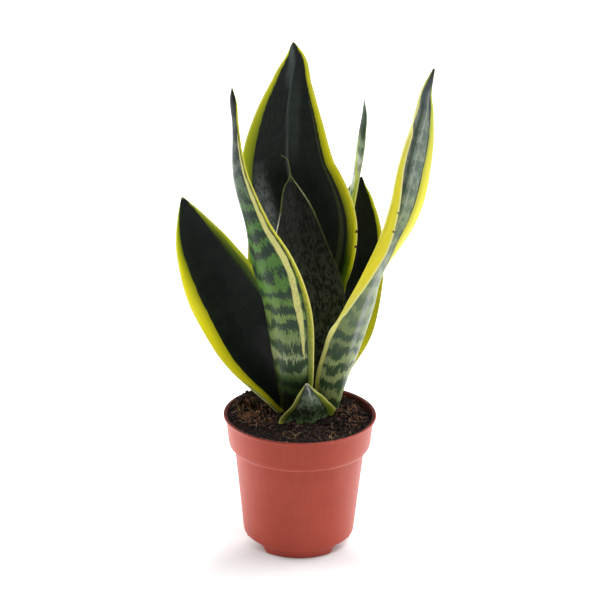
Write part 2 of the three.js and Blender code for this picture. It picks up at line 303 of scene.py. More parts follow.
LEAVES["leaf_centre"] = dict(
    thickness=(2.8, 1.4),
    crease=(1, 6),
    rows=[
        (5, 19.5, 89, 8, -2, 75), (7, 20.5, 120, 14, -2, 60), (7, 21.5, 154, 23, -2, 46),
        (6, 22, 195, 30, -2, 35), (-0.5, 21.5, 235, 22.5, -2, 28), (-4.5, 21.5, 265, 13.5, -2, 28),
        (-8.5, 21, 283, 6.5, -2, 29), (-9.5, 21, 293, 0.8, -2, 30), (-10.5, 21, 300, 0.4, -2, 30),
        (-12, 21, 305.5, 0.35, -2, 30), (-16.5, 21, 308.5, 0.3, -2, 30),
    ],
    margin_left=[(88, 0.6), (180, 0.7), (285, 0.6), (294, 0.3)],
    margin_right=[(88, 0.6), (180, 0.7), (285, 0.6), (294, 0.3)],
    inner=[
        (88, "#14170f", MOTTLE, 1), (170, "#23281b", "#545a40", 1), (200, "#1c2016", "#4e5440", 1),
        (228, "#151810", "#3a3e32", 1), (250, "#121410", "#2b2e27", 1), (276, "#111310", "#272a25", 0.9),
        (287, NIGHT, DEEP, 0.3), (294, "#59623a", "#59623a", 0), (308, "#6c705e", "#6c705e", 0),
    ],
    outer=[(88, DEEP, GREEN, 0.9), (285, BAND, GREEN, 0.9), (294, "#6b7060", "#6b7060", 0)],
    gold_left=[(88, "#5a603c"), (225, "#e6e8dc"), (256, "#d8dac8"), (268, "#5a6834"), (293, "#59623a")],
    gold_right=[
        (88, "#1c2016"), (235, "#1f2318"), (254, "#2e331f"), (265, "#565f2e"), (276, "#8f9670"),
        (286, "#868c60"), (293, "#59623a"),
    ],
    fleck=[(88, 0.7), (200, 0.9), (300, 1)],
)

LEAVES["leaf_right_back"] = dict(
    thickness=(2.8, 1.4),
    crease=(1, 4),
    rows=[
        (25, 41, 89, 9, -16, 76), (30, 47, 124, 13, -14, 64), (43, 55.5, 160, 19, -12, 48),
        (44, 60.5, 201.5, 24, -10, 34), (46, 62, 236, 19, -6, 28), (44.5, 62, 260, 13.5, -6, 28),
        (44.5, 62, 274.5, 7, -6, 28), (46.5, 62, 282, 0.4, -6, 28),
    ],
    margin_left=[(88, 4), (200, 5), (250, 4.5), (265, 3), (275, 1), (280, 0)],
    margin_right=[
        (88, 5), (140, 7), (160, 9), (190, 9), (205, 7), (220, 5), (235, 4), (250, 3), (270, 2), (280, 0),
    ],
    inner=[(88, DEEP, MOTTLE, 0.5), (200, NIGHT, DEEP, 0.5), (282, NIGHT, NIGHT, 0)],
    outer=[(88, DEEP, GREEN, 0.9), (282, BAND, GREEN, 0.7)],
    gold_left=[(88, YELLOW_SHADE), (282, YELLOW)],
    gold_right=[(88, "#fffa38"), (200, "#fbf42c"), (282, "#e8ee20")],
    dusk_left=[(88, 0.6)],
    dusk_right=[(88, 0), (200, 0), (225, 0.3), (282, 0.15)],
)

LEAVES["leaf_left"] = dict(
    thickness=(3.0, 1.4),
    crease=(1, 4),
    rows=[
        (-8.5, 14, 88, 7.5, 28, 80), (-11.2, 16.3, 99, 9.2, 28, 78), (-17.3, 17.5, 110, 13.5, 28, 76),
        (-30.3, 20, 130, 21.4, 33, 60), (-49.6, 21, 163, 28.6, 31, 44), (-63, 23.5, 198, 32, 28, 33),
        (-74.5, 25, 223, 26, 26, 27), (-82.5, 26, 242, 19, 25, 24), (-88.5, 26.5, 260, 9.5, 24, 24),
        (-92.5, 26, 273.5, 0.7, 24, 24),
    ],
    margin_left=[
        (88, 7), (100, 8), (112, 9), (122, 10), (135, 10), (150, 11), (165, 13), (190, 13.5), (213, 11),
        (228, 8), (243, 5), (256, 2.6), (265, 1), (269, 0),
    ],
    margin_right=[(88, 0), (178, 0), (190, 6), (200, 9), (215, 9), (240, 6.5), (258, 3), (267, 1), (270, 0)],
    gold_lanes=[
        ("#54693f", [(88, 1, -6.6, 2.4), (99, 1, -8.2, 2.6), (110, 1, -12.4, 3), (118, 0, -15.6, 3)]),
        ("#93a374", [(108, 0, -11.6, 2.8), (118, 1, -15.8, 3), (130, 1, -20.8, 2), (138, 0, -23.6, 1)]),
    ],
    dusk_left=[(88, 0.1), (180, 0.15), (215, 0.35), (250, 0.6)],
    dusk_right=[(88, 1), (215, 1), (240, 0.8), (265, 0.3)],
    fleck=[(88, 0.6)],
    inner=[
        (88, NIGHT, DEEP, 0.4), (200, NIGHT, "#1b231a", 0.6), (265, "#161b1a", DEEP, 0.3),
        (272, "#161b1a", NIGHT, 0), (273.5, DRY, DRY, 0),
    ],
    outer=[(88, BAND, PALE, 0.8), (140, BAND, GREEN, 0.9), (274, BAND, GREEN, 0.8)],
    gold_left=[(88, "#f0e61a"), (150, "#f6ea22"), (215, "#eee21c"), (250, "#d8dc1c"), (274, "#8fae2c")],
    gold_right=[(88, YELLOW_SHADE), (200, "#bcc822"), (240, "#bec614"), (262, "#d2d63a"), (274, "#e6e260")],
)

LEAVES["leaf_front_left"] = dict(
    thickness=(3.2, 1.4),
    crease=(1, 9),
    rows=[
        (-2, 4, 88, 10, 162, 72), (-7.5, -1, 118, 18, 158, 68), (-10, -8, 148, 21, 155, 58),
        (-16, -15, 198, 23.5, 152, 50), (-27.6, -19, 236.5, 20.5, 150, 48), (-36.7, -22, 264, 14.5, 138, 42),
        (-48.3, -25, 300, 13, 122, 37), (-50.6, -27, 345, 5.8, 112, 31), (-52, -27, 361, 5.5, 114, 30),
        (-51.5, -27, 369, 0.7, 116, 30),
    ],
    margin_left=[
        (88, 3), (150, 5), (169, 5), (201, 4.4), (224, 2.6), (241, 2), (268, 1.4), (284, 1.2), (320, 1.1),
        (345, 1), (355, 0.8), (362, 0),
    ],
    margin_right=[(88, 0.8), (262, 0.8), (276, 2), (300, 2.2), (330, 1.5), (369, 0.8)],
    dusk_left=[(88, 0.5), (140, 0.4), (200, 0.2), (360, 0.1)],
    stripe_left=[
        (152, 0), (160, 1.2), (172, 2.6), (190, 4.4), (201, 5), (224, 4), (241, 4.6), (268, 3.6), (284, 2.7),
        (300, 2), (320, 1.2), (335, 0.6), (340, 0),
    ],
    gap_left=[(88, 1.6), (165, 2.8), (190, 2.6), (215, 2), (241, 1.2), (268, 0.7), (340, 0.6)],
    stripe_colour="#ece78e",
    inner=[(88, DEEP, MOTTLE, 0.7), (369, NIGHT, MOTTLE, 0.5)],
    # The outer face's darkest colours at its base are painted shade.
    outer=[
        (88, NIGHT, DEEP, 0.5), (120, "#131a10", "#25331c", 0.8), (138, "#22331c", "#4a6632", 0.9),
        (147, "#30452c", "#98a974", 1), (154, "#354b30", "#b2be8c", 1), (166, "#354a32", "#869a62", 1),
        (190, "#2d4230", "#7f9c50", 1), (215, "#2a3f2e", GREEN, 1), (270, "#26372b", "#52803a", 1),
        (310, "#34433c", GREY, 0.8), (350, DEEP, GREY, 0.3), (360, NIGHT, NIGHT, 0),
    ],
    # This lane is a painted sheen high on the leaf.
    lanes=[
        ("#7f8884", "#a5aba4", [
            (240, 0, 16, 3), (262, 0.7, 11, 3), (280, 0.9, 8, 3.4), (300, 0.8, 6, 3.4), (330, 0.4, 4, 3),
            (345, 0, 3, 3),
        ]),
    ],
    gold_left=[
        (88, "#9aa038"), (150, "#adb03e"), (215, "#d8d03a"), (250, "#eee43c"), (300, "#efe95c"),
        (369, YELLOW),
    ],
    gold_right=[(88, "#5f6f4a"), (250, "#7f8a68"), (276, "#d8dc84"), (310, "#dfe07a"), (369, "#9a9a58")],
    mottle=[(88, 1), (210, 0.9), (235, 0.5), (290, 0)],
)

LEAVES["leaf_front_right"] = dict(
    thickness=(3.2, 1.4),
    crease=(1, 17),
    rows=[
        (23.2, 14, 88, 8.8, 212, 76, 0), (28.4, 7.5, 122, 18.1, 214, 70, 0),
        (38.5, 0, 158, 21.5, 215, 64, 0), (48.4, -7, 194.5, 21, 215, 62, 2.2),
        (56, -12, 224.5, 18.4, 217, 60, 5.2), (63.7, -15, 247, 18.2, 203, 46, 7.3),
        (74.5, -18, 278, 18.5, 196, 34, 5.7), (80.7, -20, 312, 16, 190.5, 29, 2.9),
        (84.9, -23, 341, 10.9, 184, 28, 1.6), (87.2, -24, 353, 7, 181, 28, 0.6),
        (87.3, -25, 364, 4.8, 178, 28, 0), (92.5, -26, 384.5, 0.7, 176, 28, 0),
    ],
    margin_left=[
        (88, 3), (150, 4), (200, 8), (240, 11), (250, 12), (270, 11), (290, 9.5), (315, 7), (335, 4.5),
        (350, 3), (366, 0.8), (374, 0),
    ],
    margin_right=[
        (88, 3.8), (130, 3.6), (150, 3), (165, 3.4), (185, 6), (200, 8), (224, 11), (247, 12), (278, 8.6),
        (300, 7), (312, 6), (330, 4.6), (341, 3.4), (350, 2.2), (366, 1.6), (378, 1), (384, 0),
    ],
    inner=[(88, DEEP, MOTTLE, 0.7), (384, NIGHT, MOTTLE, 0.4)],
    outer=[
        (88, "#2f4a22", "#7d9c48", 1), (106, "#34502b", "#86a252", 1), (118, "#3c5432", "#a9b678", 1),
        (145, "#3f553a", "#a3b274", 1), (160, "#3f543e", "#8b9c66", 1), (176, "#4a6046", "#899b66", 1),
        (186, "#6a7d60", "#90a16e", 0.9), (215, "#6a7d60", "#9aaa7e", 0.9), (245, "#62765f", "#95a582", 0.9),
        (271, "#62765c", "#97a77a", 0.9), (300, "#66786a", "#98a690", 0.9), (340, "#6a7a6e", "#9ba996", 0.9),
        (368, "#565d60", "#696f70", 0.5), (384, "#35393c", NIGHT, 0),
    ],
    fleck=[(88, 0), (220, 0), (250, 0.6), (384, 0.6)],
    # These lanes are painted reflections: grey sheen beside the rolled margin, a dark strip where the face
    # reflects the dark front, a highlight on the ridge, and pale sheen lower down.
    lanes=[
        ("#797e7e", "#9a9f9b", [
            (235, 0, 7, 3.5), (262, 0.8, 7.5, 3.2), (300, 0.85, 7.5, 3.2), (335, 0.85, 6, 3),
            (350, 0.85, 5, 2.2), (372, 0.7, 3, 2),
        ]),
        ("#3f4d45", "#56655a", [
            (255, 0, 4.4, 1.3), (275, 0.8, 4, 1.3), (300, 0.9, 3.2, 1.5), (325, 0.9, 2.7, 1.5),
            (350, 0.9, 2, 1.3), (368, 0.8, 1.2, 1.2), (380, 0, 1, 1),
        ]),
        ("#b6bcb2", "#c2c8bc", [
            (255, 0, 0, 0.5), (280, 0.6, -0.3, 0.5), (325, 0.6, -0.9, 0.45), (350, 0.7, -1.6, 0.45),
            (366, 0.6, -2, 0.4), (372, 0, -2, 0.4),
        ]),
        ("#98a09a", "#b9bfb4", [
            (150, 0, 0, 2), (170, 0.7, 1, 2), (200, 0.85, 1, 2.2), (225, 0.6, -1, 2.4), (245, 0.45, -2, 2.4),
            (262, 0, -2, 2),
        ]),
        ("#b3baa6", "#c6ccb8", [
            (110, 0, -13, 2), (130, 0.6, -13, 2), (215, 0.7, -12, 2.2), (235, 0, -10, 2),
        ]),
    ],
    gold_left=[
        (88, YELLOW_GREEN), (240, "#fbf032"), (280, "#f2e62a"), (330, "#e2de48"), (360, "#cbd650"),
        (384, YELLOW),
    ],
    gold_right=[
        (88, "#f2f670"), (170, "#fcfa84"), (195, "#fbf46a"), (225, "#fff03a"), (300, "#f6ea3a"),
        (340, "#e6de6a"), (352, "#b8bb3a"), (384, "#9aa038"),
    ],
    nicks_right=[(276, 0.5), (262, 1.0)],
    mottle=[(88, 0.15), (170, 0.1), (200, 0), (384, 0)],
    crest_right=[(110, 0), (140, 0.3), (175, 0.8), (366, 0.8), (374, 0)],
    gap_right=[(88, 0)],
)

LEAVES["leaf_slim_back"] = dict(
    thickness=(2.2, 1.3),
    crease=(1, 8),
    rows=[
        (7, 38, 89, 6, 122, 76), (9, 43, 138, 8.5, 118, 64), (20, 46.6, 190, 8.9, 110, 50),
        (31.8, 48.3, 245, 9, 107, 44), (39, 49.2, 281, 8, 100, 40), (43.4, 49.5, 320, 10.5, 94, 37),
        (46, 50, 338, 6, 91, 34), (46.5, 50, 346, 0.7, 90, 30),
    ],
    margin_left=[(88, 1.5), (270, 1.5), (300, 0.8), (346, 0)],
    margin_right=[(88, 3.5), (250, 3.2), (285, 2), (320, 0.8), (346, 0)],
    inner=[(88, DEEP, GREEN, 0.8), (346, BAND, GREEN, 0.6)],
    # The nearly white colours near the top of the outer face are a painted sheen.
    outer=[
        (88, BAND, GREEN, 0.9), (250, "#4f6832", "#789448", 0.9), (272, "#5c7444", "#96a880", 1),
        (285, "#a2ada0", "#e2e6e0", 1), (300, "#8e9c88", "#d2d9ca", 1), (310, "#4c6642", "#a3b490", 1),
        (322, "#1c3016", "#34522a", 0.9), (336, "#1d2d1b", "#3c4c38", 0.7), (346, GREY, DRY, 0.5),
    ],
    # The second lane is a painted sheen along the crease.
    lanes=[
        ("#a3b32a", "#bdc940", [
            (245, 1, -7.5, 2), (268, 1, -6.6, 2), (285, 1, -5.6, 1.6), (300, 0.9, -3, 1.4),
            (315, 0.7, -1, 1.4), (325, 0, 0, 1),
        ]),
        ("#bcc2b4", "#d2d6cc", [(240, 0.6, 0, 1.4), (268, 0.7, 0, 1.2), (278, 0.4, 0, 1), (288, 0, 0, 1)]),
    ],
    gold_left=[(88, YELLOW_GREEN), (262, "#b4c23a"), (276, "#c8d08a"), (300, "#b9c4a4"), (346, GREEN)],
    gold_right=[(88, "#93a52a"), (290, "#b0bd4a"), (346, GREEN)],
)

LEAVES["leaf_front_small"] = dict(
    thickness=(2.8, 1.4),
    crease=(2, 16),
    rows=[
        (8, -5.2, 88, 26, 196, 18), (7.8, -4, 102, 23.7, 194, 16), (7.6, -8, 114, 15.8, 192, 16),
        (6, -11.5, 126, 8.1, 190, 14), (5, -13, 136.5, 0.7, 188, 12),
    ],
    margin_left=[(88, 9), (101, 8.5), (112, 5.2), (124, 2.8), (132, 1.4), (135.5, 0)],
    margin_right=[(88, 5), (108, 4.6), (122, 3.4), (132, 1.6), (135.5, 0)],
    dusk_left=[(88, 0.4)],
    dusk_right=[(88, 0.3)],
    inner=[(88, DEEP, MOTTLE, 0.7), (136, BAND, MOTTLE, 0.5)],
    outer=[
        (88, "#2c4222", "#648a44", 1), (104, "#44583c", "#94b078", 1), (122, "#546650", "#a6b89c", 1),
        (132, "#566259", "#8c968c", 1), (134.2, "#343b34", GREY, 0.5), (135, DRY, DRY, 0),
    ],
    fleck=[(88, 0.6)],
    # This lane is a painted highlight running up to the tip.
    lanes=[
        ("#c9cbbd", "#d6d8cc", [
            (118, 0, -2.4, 1), (124, 0.7, -2, 0.8), (132, 0.9, -0.8, 0.6), (135, 0, 0, 0.5),
        ]),
    ],
    gold_left=[(88, "#b4be30"), (120, "#b6c04a"), (128, "#d6da7a"), (136, "#e0e48a")],
    gold_right=[(88, "#c2ca48"), (136, "#ccd070")],
    mottle=[(88, 0.7), (136, 0.4)],
)

NOTHING = [(0, 0)]
ROLL_AT = 6
LEAF_STEPS = 190
LEAF_COLUMNS = 40
ROLLED_COLUMNS = 72
LEAF_SUBSTEPS = 4
LEAST_HALF = 0.15
FULL_THICKNESS_HALF = 6
LEAST_TIP_THICKNESS = 0.05
MARGIN_THINNING = 0.72
MARGIN_THINNING_POWER = 2.2
CREASE_WIDTH = 1.6
ROLL_ANGLE = math.radians(165)
ROLL_BEND = 5
ROLL_ONSET = 2
MARGIN_ROUND = 4
SEED_STEP = 7.3


def knots_of(rows):
    reach = np.linalg.norm(np.diff(rows[:, :3], axis=0), axis=1)
    knots = np.concatenate([[0], np.cumsum(reach)])
    return knots / knots[-1]


def smooth_rows(rows, t):
    """The rows' values at every t, on a smooth cubic through them."""
    knots = knots_of(rows)
    span = np.diff(knots)
    rise = np.diff(rows, axis=0) / span[:, None]
    slope = np.concatenate([rise[:1], np.zeros_like(rows[1:-1]), rise[-1:]])
    slope[1:-1] = rise[:-1] * span[1:, None] + rise[1:] * span[:-1, None]
    slope[1:-1] /= (span[:-1] + span[1:])[:, None]
    i = np.clip(np.searchsorted(knots, t, side="right") - 1, 0, len(span) - 1)
    f = ((t - knots[i]) / span[i])[:, None]
    width = span[i][:, None]
    near = (2 * f**3 - 3 * f**2 + 1) * rows[i] + (f**3 - 2 * f**2 + f) * width * slope[i]
    return near + (3 * f**2 - 2 * f**3) * rows[i + 1] + (f**3 - f**2) * width * slope[i + 1]


def unit(vectors):
    return vectors / np.linalg.norm(vectors, axis=-1, keepdims=True)


def along_heights(entries, heights):
    """Numbers or colours listed by height, at these heights, with a column for each number."""
    levels = [entry[0] for entry in entries]
    found = [srgb(entry[1]) if isinstance(entry[1], str) else entry[1] for entry in entries]
    values = np.array([np.atleast_1d(value) for value in found], float)
    return np.stack([np.interp(heights, levels, column) for column in values.T], axis=-1)


def leaf_surface(spec, columns):
    """The two faces of a blade and what the skin needs to know at each point of them."""
    rows = np.array([tuple(row) + (0,) * (ROLL_AT + 1 - len(row)) for row in spec["rows"]], float)
    t = np.linspace(0, 1, LEAF_STEPS + 1)
    values = smooth_rows(rows, t)
    nudge = 1e-3
    ahead = smooth_rows(rows, np.clip(t + nudge, 0, 1))[:, :3]
    behind = smooth_rows(rows, np.clip(t - nudge, 0, 1))[:, :3]
    centre, half = values[:, :3], np.maximum(values[:, 3], LEAST_HALF)
    turn, cup, roll = np.radians(values[:, 4]), np.radians(values[:, 5]), np.maximum(values[:, ROLL_AT], 0)
    tangent = unit(ahead - behind)
    toward = np.stack([np.sin(turn), -np.cos(turn), 0 * turn], -1)
    normal = unit(toward - np.sum(toward * tangent, 1, keepdims=True) * tangent)
    across = np.cross(tangent, normal)

    fine = np.linspace(-1, 1, columns * LEAF_SUBSTEPS + 1)
    crease = np.radians(spec["crease"][0] + (spec["crease"][1] - spec["crease"][0]) * t)
    heading = (cup - crease)[:, None] * fine + crease[:, None] * np.tanh(fine * half[:, None] / CREASE_WIDTH)
    bend = ROLL_BEND / half
    start = 1 - roll / half - bend
    over = ease((fine - start[:, None]) / bend[:, None])
    heading = heading - (ROLL_ANGLE * np.clip(roll / ROLL_ONSET, 0, 1))[:, None] * over
    pace = fine[1] - fine[0]
    middle = len(fine) // 2

    def walked(values):
        """How far a walk from the midrib gets, when values are its pace at each point."""
        paces = (values[:, 1:] + values[:, :-1]) / 2 * pace
        sums = np.concatenate([np.zeros((len(t), 1)), np.cumsum(paces, 1)], 1)
        return (half[:, None] * (sums - sums[:, middle:middle + 1]))[:, ::LEAF_SUBSTEPS]

    sideways, inwards = walked(np.cos(heading)), walked(np.sin(heading))
    heading = heading[:, ::LEAF_SUBSTEPS]
    u = fine[::LEAF_SUBSTEPS]
    skin = centre[:, None] + sideways[..., None] * across[:, None] + inwards[..., None] * normal[:, None]
    out = -np.sin(heading)[..., None] * across[:, None] + np.cos(heading)[..., None] * normal[:, None]
    flat = np.cos(heading)[..., None] * across[:, None] + np.sin(heading)[..., None] * normal[:, None]
    thick = spec["thickness"][0] + (spec["thickness"][1] - spec["thickness"][0]) * t
    thick = thick * np.sqrt(np.clip(half / FULL_THICKNESS_HALF, LEAST_TIP_THICKNESS, 1))
    reach = thick[:, None] * (1 - MARGIN_THINNING * np.abs(u) ** MARGIN_THINNING_POWER) / 2
    length = np.concatenate([[0], np.cumsum(np.linalg.norm(np.diff(centre, axis=0), axis=1))])
    return {"skin": skin, "out": out, "flat": flat, "reach": reach, "u": u, "half": half, "length": length,
            "height": centre[:, 2]}


def nicks(spec, height, side):
    """How much of the right margin is dried, from the heights and lengths of its small wounds."""
    dried = np.zeros(height.shape)
    for level, reach in spec.get("nicks_right", []):
        dried = np.maximum(dried, side * np.exp(-((height - level) / reach) ** 2))
    return dried


def painted(colours, lanes, pick, across, height):
    """The colours with long soft lanes laid on, each in the one of its own colours that is picked."""
    for *tones, course in lanes:
        tone = np.array(srgb(tones[pick]))
        levels = [stop[0] for stop in course]
        stops = [[stop[k] for stop in course] for k in (1, 2, 3)]
        strength, centre, reach = (np.interp(height, levels, values) for values in stops)
        inside = (height > levels[0]) | (course[0][1] > 0)
        weight = strength * inside * np.exp(-(((across - centre) / reach) ** 4))
        colours = colours + weight[:, None] * (tone - colours)
    return colours


def leaf_mesh(name, spec, material, seed):
    columns = ROLLED_COLUMNS if len(spec["rows"][0]) > ROLL_AT else LEAF_COLUMNS
    s = leaf_surface(spec, columns)
    # A ring goes over the inner face, round the right margin, back over the outer face and round the left.
    inner = [(j, 1.0, 0.0) for j in range(columns + 1)]
    outer = [(j, -1.0, 0.0) for j in range(columns, -1, -1)]
    turns = [math.pi * (k + 1) / (MARGIN_ROUND + 1) for k in range(MARGIN_ROUND)]
    right = [(columns, math.cos(a), math.sin(a)) for a in turns]
    left = [(0, -math.cos(a), -math.sin(a)) for a in turns]
    column, rise, slide = np.array(inner + right + outer + left).T
    column = column.astype(int)
    reach = s["reach"][:, column]
    points = s["skin"][:, column] + s["out"][:, column] * (reach * rise)[..., None]
    points = points + s["flat"][:, column] * (reach * slide)[..., None]

    steps, around = reach.shape
    u = np.tile(s["u"][column], steps)
    inside = np.tile(0.5 + 0.5 * rise, steps)[:, None]
    half, height, length = (np.repeat(s[key], around) for key in ("half", "height", "length"))
    across = u * half
    side = u > 0

    def by_side(key, default=None):
        """What the right margin's list says on its half of the leaf, and the left margin's on the other."""
        found = [along_heights(spec.get(f"{key}_{end}", default), height) for end in ("right", "left")]
        return np.where(side[:, None], *found)

    def of_face(index):
        """What the inner face's list says at one place in its entries, blended into the outer's."""
        faces = [along_heights([(entry[0], entry[index]) for entry in spec[key]], height)
                 for key in ("inner", "outer")]
        return faces[0] * inside + faces[1] * (1 - inside)

    attributes = {
        "across": across,
        "along": length,
        "edge": (1 - np.abs(u)) * half,
        "band": by_side("margin"),
        "gap": by_side("gap", [(0, 1)]),
        "stripe": by_side("stripe", NOTHING),
        "dusk": by_side("dusk", NOTHING),
        "crest": by_side("crest", NOTHING),
        "nick": nicks(spec, height, side),
        "inside": inside,
        "contrast": of_face(3),
        "seed": np.full(u.shape, float(seed)),
    }
    for key in ("midrib", "mottle", "fleck"):
        attributes[key] = along_heights(spec.get(key, NOTHING), height)
    lanes = spec.get("lanes", [])
    colours = {
        "deep": painted(of_face(1), lanes, 0, across, height),
        "pale": painted(of_face(2), lanes, 1, across, height),
        "gold": painted(by_side("gold"), spec.get("gold_lanes", []), 0, across, height),
        "stripe_colour": np.broadcast_to(srgb(spec.get("stripe_colour", YELLOW_GREEN)), (u.size, 3)),
    }
    faces = tube_faces(steps, around)
    points = points.reshape(-1, 3)
    piece = make_object(name + "_blade", points, faces, material, attributes, colours)
    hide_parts(name)
    return piece


# The skin of the leaves. The pushes are how far, in millimetres, noise moves the cross bands up and down,
# and the breaks are how much it breaks them up.

BAND_LENGTH = 16.0
STREAK_PUSH = 12
TOOTH_PUSH = 9
PATCH_PUSH = 22
SPECK_BREAK = 5.6
CLOUD_BREAK = 3.6
FLECK_BREAK = 9
RAGGEDNESS = 1.6
RIB_SHEEN_TONE = "#4a544c"
LINE_TONE = "#141f10"
INWARD_TONE = "#75860a"
GRAIN_TONE = "#8f9a12"
DUSK_TONES = ("#46600c", "#1a290b")
SPECK_TONE = "#56702a"
FOLD_TONE = "#faf69c"
RIM_HIGHLIGHT_TONE = "#efe98c"
LIT_RIM_TONE = "#fcf8a6"
WOUND_TONE = "#4a2412"


def leaf_material():
    g = Graph(bpy.data.materials.new("leaf_skin"))
    across, along, edge = g.attribute("across"), g.attribute("along"), g.attribute("edge")
    seed, inside, band = g.attribute("seed"), g.attribute("inside"), g.attribute("band")
    fleck, gap = g.attribute("fleck"), g.attribute("gap")
    dusk, crest = g.attribute("dusk"), g.attribute("crest")

    def weave(across_scale, along_scale, detail=2.0, rough=0.5):
        """Noise drawn out along the leaf."""
        spot = g.combine(g.times(across, across_scale), g.times(along, along_scale), seed)
        return g.noise(spot, 1, detail, rough)

    def shifted(value, noise_value, amount):
        return g.plus(value, g.times(g.minus(noise_value, 0.5), amount))

    streaks = weave(0.30, 0.03)
    teeth = weave(0.85, 0.10, 3)
    patches = weave(0.06, 0.035, 1)
    specks = weave(1.1, 0.42, 4, 0.7)
    grain = weave(2.6, 0.08, 3)
    cloud = weave(0.12, 0.05, 2)

    # Cross bands: a wave up the leaf whose crests are pushed up and down in teeth and broken into specks.
    pushed = g.plus(along, seed)
    for pattern, push in ((streaks, STREAK_PUSH), (teeth, TOOTH_PUSH), (patches, PATCH_PUSH)):
        pushed = shifted(pushed, pattern, push)
    wave = g.math("SINE", g.times(pushed, 2 * math.pi / BAND_LENGTH))
    banded = shifted(shifted(wave, specks, SPECK_BREAK), cloud, CLOUD_BREAK)
    # Where a face is to have flecks, they take the place of the bands.
    flecked = shifted(0.0, weave(0.5, 0.22, 4, 0.65), FLECK_BREAK)
    wave = g.plus(g.times(flecked, fleck), g.times(banded, g.minus(1.0, fleck)))
    bands = g.times(g.step(wave, -0.5, 0.5), g.attribute("contrast"))
    skin = g.mix(bands, g.attribute("deep", "Color"), g.attribute("pale", "Color"))
    skin = g.mix(g.step(grain, 0.35, 0.7, 0.0, 0.4), skin, g.attribute("deep", "Color"))

    # A painted sheen along the midrib makes a paler line on the inner face.
    rib_sheen = g.times(g.step(g.math("ABSOLUTE", across), 1.4, 0.1), g.attribute("midrib"), inside)
    skin = g.mix(g.times(rib_sheen, 0.25), skin, RIB_SHEEN_TONE)

    # A stripe inside the yellow margin of some leaves, and a dark line between.
    ragged = shifted(edge, teeth, RAGGEDNESS)
    from_band = g.minus(ragged, band)
    from_gap = g.minus(from_band, gap)
    width = g.attribute("stripe")
    mottle = g.times(g.step(specks, 0.42, 0.6), g.attribute("mottle"))
    stripe = g.times(g.step(from_gap, -0.3, 0.3), g.step(g.minus(from_gap, width), 0.4, -0.4))
    stripe = g.times(stripe, g.step(width, 0.1, 0.8), g.minus(0.95, g.times(mottle, 0.35)))
    skin = g.mix(stripe, skin, g.attribute("stripe_colour", "Color"))
    line = g.times(g.step(from_band, -0.3, 0.3), g.step(from_band, 1.6, 0.6), g.step(band, 0.6, 2.0))
    skin = g.mix(g.times(line, g.step(gap, 0.0, 0.5), 0.75), skin, LINE_TONE)

    # The yellow margin, with a greener inner side.
    inward = g.math("DIVIDE", ragged, g.math("MAXIMUM", band, 0.5))
    gold = g.mix(g.step(inward, 0.4, 1.0, 0.0, 0.4), g.attribute("gold", "Color"), INWARD_TONE)
    gold = g.mix(g.step(grain, 0.4, 0.8, 0.0, 0.18), gold, GRAIN_TONE)
    # In the shaded hollow of a leaf it turns through green to nearly black.
    for tone, low, high in zip(DUSK_TONES, (0.1, 0.5), (0.5, 1.0)):
        gold = g.mix(g.times(g.step(inward, low, high), dusk), gold, tone)
    gold = g.mix(g.times(mottle, g.step(inward, 0.15, 0.6, 0.15, 0.9)), gold, SPECK_TONE)
    # Where a margin is rolled over, its fold and its free edge catch the light.
    fold = g.times(g.step(from_band, -2.6, -1.8), g.step(from_band, 0.2, -0.3), crest)
    gold = g.mix(fold, gold, FOLD_TONE)
    colour = g.mix(g.step(from_band, 0.5, -0.5), skin, gold)
    # A painted highlight runs along the very edge of a wide yellow margin, fading where the margin is
    # shaded.
    rim_highlight = g.times(g.step(edge, 1.0, 0.4), g.step(band, 1.0, 2.5), g.step(dusk, 0.95, 0.6), 0.6)
    colour = g.mix(rim_highlight, colour, RIM_HIGHLIGHT_TONE)
    colour = g.mix(g.times(g.step(edge, 1.0, 0.5), crest), colour, LIT_RIM_TONE)
    wound = g.times(g.step(shifted(edge, teeth, 0.8), 1.3, 0.7), g.step(g.attribute("nick"), 0.35, 0.7))
    colour = g.mix(wound, colour, WOUND_TONE)

    relief = g.plus(g.times(weave(0.8, 0.008), 0.7), g.times(specks, 0.12))
    return g.finish(
        Base_Color=colour,
        Roughness=g.step(cloud, 0.3, 0.7, 0.3, 0.4),
        Normal=g.bump(relief, 0.35, 0.6),
        Specular_IOR_Level=0.2,
    )


# Pot: a turned shell whose base dips into three feet.

POT_HEIGHT = 106.5
LIP_RADIUS = 60
LIP_ROUND = 0.8
COLLAR_TOP_RADIUS = 58
COLLAR_TOP_Z = 103.4
COLLAR_BOTTOM_RADIUS = 56
COLLAR_BOTTOM_Z = 80.8
COLLAR_EDGE = 3.2
BODY_TOP_RADIUS = 51.4
BODY_TOP_Z = 80.3
BODY_BOTTOM_RADIUS = 44.2
BASE_Z = 6.4
BASE_ROUND = 2.7
WALL = 1.0
POT_SEGMENTS = 240
FOOT_ANGLES = (-90, 30, 150)
FOOT_HALF_ANGLE = 41
FOOT_SLOPE = 4.5
FOOT_OUTER = 43.2
FOOT_OUTER_SLOPE = 2.6
FOOT_INNER = 29.3
FOOT_EDGE = 1.6
DRAIN_RADIUS = 4
DRAIN_RING_RADIUS = 34
DRAIN_SIDES = 32
DRAIN_CUT = 6
BETWEEN_FEET = 60
# A moulded pot is slightly oval towards the top: by how much, which way, and from what height.
OVAL = 0.004
OVAL_TURN = 50
OVAL_HEIGHT = 60
# The rings of the base lie closer together where the feet slope.
BASE_RADII = np.concatenate([
    np.linspace(6, 27, 6),
    np.arange(27.6, 31.6, 0.5),
    np.linspace(32, 39, 7),
    np.arange(39.4, 43.6, 0.35),
    [43.8, 44.05],
])
POT_REDS = ("#b3402a", "#bc4830")
FLOW_RED = "#aa3a26"
SCUFF_RED = "#c06a52"
# The next three are a painted highlight on the collar's lower edge, painted shade on the lip, and dirt with
# painted shade inside the pot.
EDGE_HIGHLIGHT_RED = "#cf7f68"
LIP_SHADE_RED = "#a83a22"
DIRT_AND_SHADE = "#220a0b"


